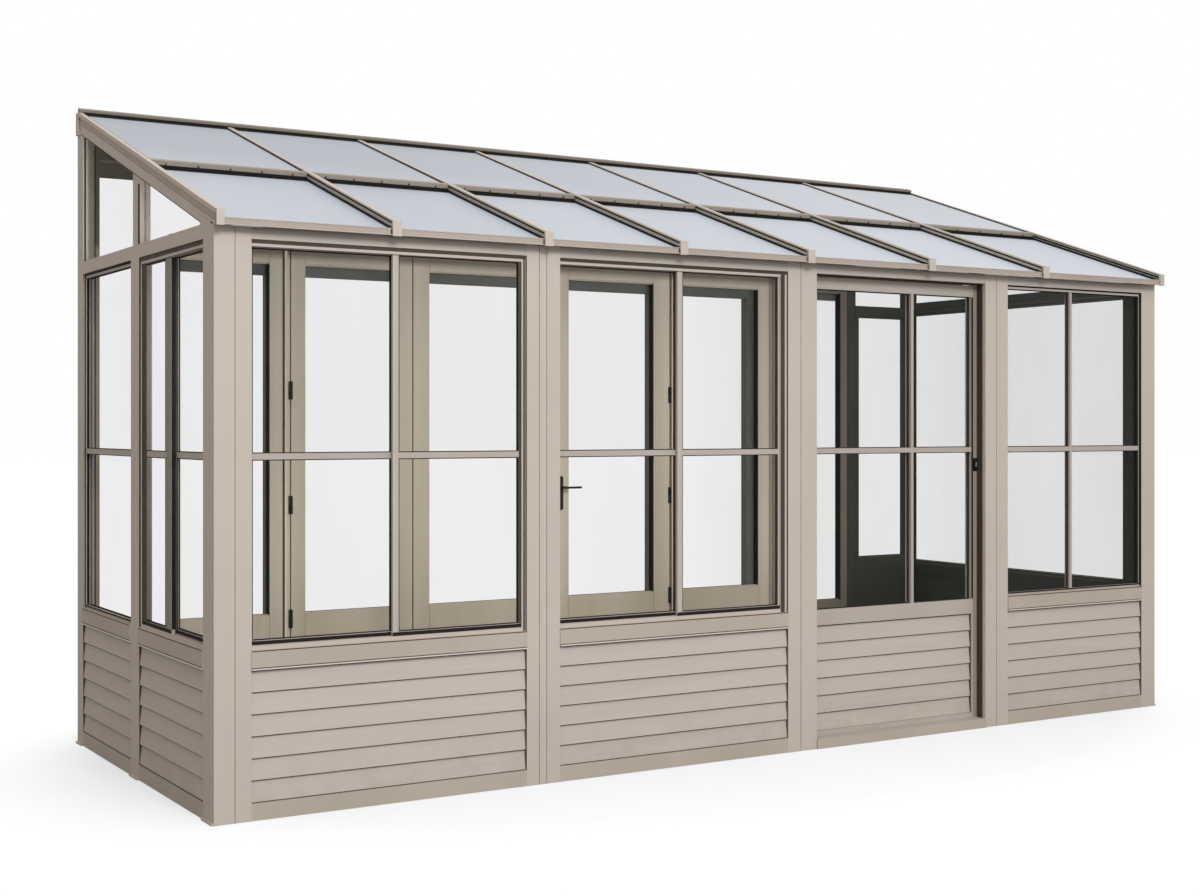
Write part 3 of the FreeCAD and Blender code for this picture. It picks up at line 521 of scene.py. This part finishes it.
# --- roof ----------------------------------------------------------------
MIDS = [671, 1310, 1939, 2595, 3280, 3993]
INNER = [(12, 663)] + [(MIDS[i] + 8, MIDS[i + 1] - 8) for i in range(5)] + [(4001, 4788)]
LOW, UP = (10, 884), (918, 1916)
black, ribs = [], []
for i, (a, b) in enumerate(INNER):
    for x, d in ((a, 1), (b, -1)):
        def side(p, q):
            return (x + p, x + q) if d > 0 else (x - q, x - p)
        top = -16.2 if x in (12, 4788) else -6.2
        black.append((*side(0, 4), *LOW, top - 6.4 if top > -10 else top - 4, top))
        black.append((*side(0, 7), *LOW, -33.8, -26.5 if top > -10 else -25.5))
        if top < -10:
            black.append((*side(0, 1.8), *LOW, -15.2, -4.6))
        for n in ((-13.4, -17.4, -21.4) if top > -10 else (-8.4, -20.8)):
            ribs.append((*side(0, 3), *LOW, n - 2.9, n))
        black.append((*side(3.2 if top > -10 else 0.2, 8.5), *UP, -7.8, -3.6))
    # under each purlin: a black band over the purlin's lower face and a flat black strip on the panel below, painted
    # shade
    black.append((a + 4, b - 4, 881.5, 886.8, -34, -19.4))
    black.append((a + 4, b - 4, 866, 881, -34, -31.6))
# under the ridge bar: a gasket line, and a flat black strip on the panels that is painted shade
black.append((14, 4786, 1909, 1919.8, -7.8, 3.5))
black.append((14, 4786, 1888, 1908.5, -8, -5.2))
bars("roof_gaskets_and_shade", black, "rubber", bevel=0.5, at=spt)
bars("rafter_ribs", ribs, "rib", bevel=0.6, at=spt)
bars("eave_lips", [(-2, 4802, -45.8, -43.8, 2081.6, 2085), (-2, 4802, -45.2, -43.8, 2103.5, 2107.4)], "taupe", "frame",
     bevel=0.8)
bars("cap_gaps", [(r - 22, r - 18.1, -45.6, -43.9, 2085, 2103.5) for r in MIDS], "rubber", bevel=0.3)

# --- rakes: the upper band, a browner sheet of painted shade under the cap, with its groove; the lower edge line; the closed top end
band, groove, lines, plugs = [], [], [], []
for x0, x1 in ((-1.3, 0.2), (4799.8, 4801.3)):
    band.append((x0, x1, 24, 1882, -43, -16.4))
    groove.append((x0 - 0.2, x1 + 0.2, 24, 1882, -44.8, -43))
    lines.append((x0, x1, 176, 1876, -87.8, -85.4))
for x0, x1 in ((0.3, 11.7), (4788.3, 4799.7)):
    plugs.append((x0, x1, 1884.6, 1917, -30, -16.4))
    plugs.append((x0, x1, 5.5, 23, -34, -16.3))
bars("rake_bands", band, "band", "frame", bevel=0.4, at=spt)
bars("rake_lines", lines, "brown", "frame", bevel=0.3, at=spt)
bars("rake_grooves", groove, "dim", "frame", bevel=0.2, at=spt)
bars("rake_plugs", plugs, "taupe", "frame", bevel=0.6, at=spt)

# --- rear leaves: glazing beads -----------------------------------------
def beads(name, holes, body, mat):
    boxes, rub = [], []
    for x0, x1, z0, z1 in holes:
        ring = ring_boxes("front", x0, x1, z0, z1, 1728, 1740.5, 4)
        boxes += ring[:3]
        # the right-hand reveal gets a black strip of painted shade
        rub.append((x1 - 2.5, x1, 1713, 1740.5, z0 + 4, z1 - 4))
        rub += ring_boxes("front", x0 + 4, x1 - 4, z0 + 4, z1 - 4, 1737, 1740.8, 2)
        rub += ring_boxes("front", x0, x1, z0, z1, 1747.2, 1750, 5)
    bars(name, boxes, mat, body, bevel=1.2)
    bars(name + "_seal", rub, "rubber", body, bevel=0.4)


Z0, Z1 = 517, 2135
beads("beads_fixed", [(419, 844, Z0, Z1), (3101, 3640.5, Z0, Z1)], "frame", "khaki")
bars("beads_tall", [(69, 73, 1728, 1740.5, 304, 2470), (69, 384, 1728, 1740.5, 300, 304), (69, 847, 1728, 1740.5, 2470, 2474),
                    (380, 384, 1728, 1740.5, 304, 2240), (384, 847, 1728, 1740.5, 2240, 2244)], "khaki_far", "frame", bevel=1.2)
beads("beads_far", [(3801.5, 4220, 408, Z1)], "frame", "khaki_far")
beads("beads_end", [(4354, 4742, 640, 2009)], "frame", "rear")
beads("beads_a", [(1017, 1481.5, Z0, Z1)], "leaf_a", "khaki")
beads("beads_b", [(1654.5, 2265, Z0, Z1)], "leaf_b", "khaki")
beads("beads_c", [(2438, 2956, Z0, Z1)], "leaf_c", "khaki")
bars("tall_rail_bead", [(69, 396, 1707.5, 1712.2, 2534, 2545)], "khaki", "frame", bevel=1.5)
# a cover strip beside the first pair's hinges, and dark seals in the joints
bars("leaf_cover_strip", [(914, 925.5, 1703, 1712.2, 34, 2226)], "cover", "frame", bevel=1.5)
bars("leaf_joint_seals", [(906.5, 913.6, 1709.6, 1712.2, 34, 2226), (3062, 3068, 1709.6, 1712.2, 34, 2226),
                          (3716.7, 3719.3, 1711.4, 1750, 34, 2226)], "brown", "frame", bevel=0.4)
bars("leaf_b_meeting_seal", [(1563.8, 1566.7, 1711.4, 1750, 34, 2226), (1566.7, 1569, 1711.2, 1712.4, 34, 2226)], "brown", "leaf_b", bevel=0.3)


def joints(name, holes, body):
    """The hairline joints where a leaf's rails meet its stiles."""
    bars(name, [(x - 0.7, x + 0.7, 1711.5, 1712.6, c, d) for x0, x1, z0, z1 in holes for x in (x0, x1)
                for c, d in ((34, z0 - 0.5), (z1 + 0.5, 2226))], "lapdark", body, bevel=0.2)


joints("joints_fixed", [(419, 844, Z0, Z1), (3101, 3640.5, Z0, Z1), (3801.5, 4220, 408, Z1)], "frame")
joints("joints_a", [(1017, 1481.5, Z0, Z1)], "leaf_a")
joints("joints_b", [(1654.5, 2265, Z0, Z1)], "leaf_b")
joints("joints_c", [(2438, 2956, Z0, Z1)], "leaf_c")


# --- screws on the ends of the tie beams ----------------------------------
def domes(name, spots, mat, body, r=5.0, h=2.4):
    """Pan-head screws with a round recess in the head, each at a point with a facing."""
    bm = bmesh.new()
    for p, axis in spots:
        start = len(bm.verts)
        loops = []
        for k, (rr, hh) in enumerate(((1.0, 0.0), (1.0, 0.45), (0.86, 0.8), (0.55, 1.0), (0.2, 1.0), (0.2, 0.55))):
            loops.append([bm.verts.new((rr * r * math.cos(t * math.pi / 8) / 1000, rr * r * math.sin(t * math.pi / 8) / 1000,
                                        hh * h / 1000)) for t in range(16)])
        for l0, l1 in zip(loops, loops[1:]):
            for t in range(16):
                bm.faces.new((l0[t], l0[(t + 1) % 16], l1[(t + 1) % 16], l1[t]))
        bm.faces.new(loops[0][::-1])
        bm.faces.new(loops[-1])
        bm.verts.ensure_lookup_table()
        m = Matrix.Translation(pt(*p)) @ Vector(axis).to_track_quat("Z", "Y").to_matrix().to_4x4()
        bmesh.ops.transform(bm, matrix=m, verts=bm.verts[start:])
    return piece(name, bm, mat, body)


domes("tie_screws", [((0, 22, 2093), (-1, 0, 0)), ((W, 22, 2093), (1, 0, 0))], "black", "frame")

# --- camera, light, floor ------------------------------------------------
cam = bpy.data.cameras.new("camera")
cam_o = bpy.data.objects.new("camera", cam)
SC.collection.objects.link(cam_o)
cam.sensor_width = 36
cam.lens = 1682.7 * 36 / 1200
cam.shift_y = -21.5 / 1200
cam.clip_end = 200
cam_o.location = pt(-1917.5, -5660.5, 1384.3)
cam_o.rotation_euler = (math.radians(90), 0, math.radians(-31.64))
SC.camera = cam_o

bm = bmesh.new()
bmesh.ops.create_grid(bm, x_segments=1, y_segments=1, size=60)
me = bpy.data.meshes.new("floor")
bm.to_mesh(me)
bm.free()
floor = bpy.data.objects.new("floor", me)
floor.location.z = -0.0005
SC.collection.objects.link(floor)
kf = Mat("floor_white")
tone = kf.noise(0.6, 3, 0.5)
kf.b.inputs["Emission Color"].default_value = (1, 1, 1, 1)
lpf = kf.node("ShaderNodeLightPath")
seen_f = lpf.outputs["Is Camera Ray"]
reach = kf.node("ShaderNodeVectorMath", operation="LENGTH")
kf.link(kf.mapped((0.5, 0.75, 1)), reach.inputs[0])
away = kf.maths("MAXIMUM", kf.remap(reach.outputs["Value"], 1.25, 1.58, 0.0, 1.0), kf.remap(kf.axis("Object", "Y"), 0.75, 1.3, 0.0, 1.0))
kf.link(kf.maths("MULTIPLY", seen_f, kf.remap(away, 0.0, 1.0, 0.40, 0.995)), kf.b.inputs["Emission Strength"])
lit_f = kf.ramp(tone, [(0.3, srgb("949493")), (0.7, srgb("989898"))])
shown = kf.mix(away, kf.ramp(tone, [(0.3, (0.475, 0.505, 0.545)), (0.7, (0.485, 0.515, 0.555))]), (0.0, 0.0, 0.0, 1.0))
me.materials.append(kf.set(color=kf.mix(seen_f, lit_f, shown), rough=0.8, spec=0.1))

world = bpy.data.worlds.new("studio")
SC.world = world
world.use_nodes = True
wt = world.node_tree
wt.nodes.clear()
out = wt.nodes.new("ShaderNodeOutputWorld")
mixs = wt.nodes.new("ShaderNodeMixShader")
lp = wt.nodes.new("ShaderNodeLightPath")
seen = wt.nodes.new("ShaderNodeBackground")
seen.inputs["Color"].default_value = (1, 1, 1, 1)
seen.inputs["Strength"].default_value = 1.0
lit = wt.nodes.new("ShaderNodeBackground")
lit.inputs["Color"].default_value = (1.0, 0.925, 0.84, 1)
tcw = wt.nodes.new("ShaderNodeTexCoord")
dot = wt.nodes.new("ShaderNodeVectorMath")
dot.operation = "DOT_PRODUCT"
dot.inputs[1].default_value = (0.20, -0.17, 0.34)
add = wt.nodes.new("ShaderNodeMath")
add.operation = "ADD"
add.inputs[1].default_value = 0.735
wt.links.new(tcw.outputs["Generated"], dot.inputs[0])
wt.links.new(dot.outputs["Value"], add.inputs[0])
wt.links.new(add.outputs[0], lit.inputs["Strength"])
wt.links.new(lp.outputs["Is Camera Ray"], mixs.inputs["Fac"])
wt.links.new(lit.outputs[0], mixs.inputs[1])
wt.links.new(seen.outputs[0], mixs.inputs[2])
wt.links.new(mixs.outputs[0], out.inputs["Surface"])

key = bpy.data.lights.new("key", "AREA")
key.shape = "DISK"
key.size = 3.6
key.energy = 810
key.color = (0.97, 0.985, 1.0)
key_o = bpy.data.objects.new("key", key)
SC.collection.objects.link(key_o)
key_o.location = pt(-200, -9000, 6900)
key_o.rotation_euler = (key_o.location - pt(1200, 0, 1200)).to_track_quat("Z", "Y").to_euler()

# soft light from the window side for the room
room = bpy.data.lights.new("room", "AREA")
room.shape = "RECTANGLE"
room.size, room.size_y = 4.4, 0.8
room.energy = 39
room.color = (1.0, 0.985, 0.96)
room_o = bpy.data.objects.new("room", room)
SC.collection.objects.link(room_o)
room_o.location = pt(2400, 114, 1700)
room_o.rotation_euler = (math.radians(90), 0, 0)
room_o.visible_camera = False
room_o.visible_glossy = False

SC.view_settings.view_transform = "Standard"
SC.view_settings.look = "None"
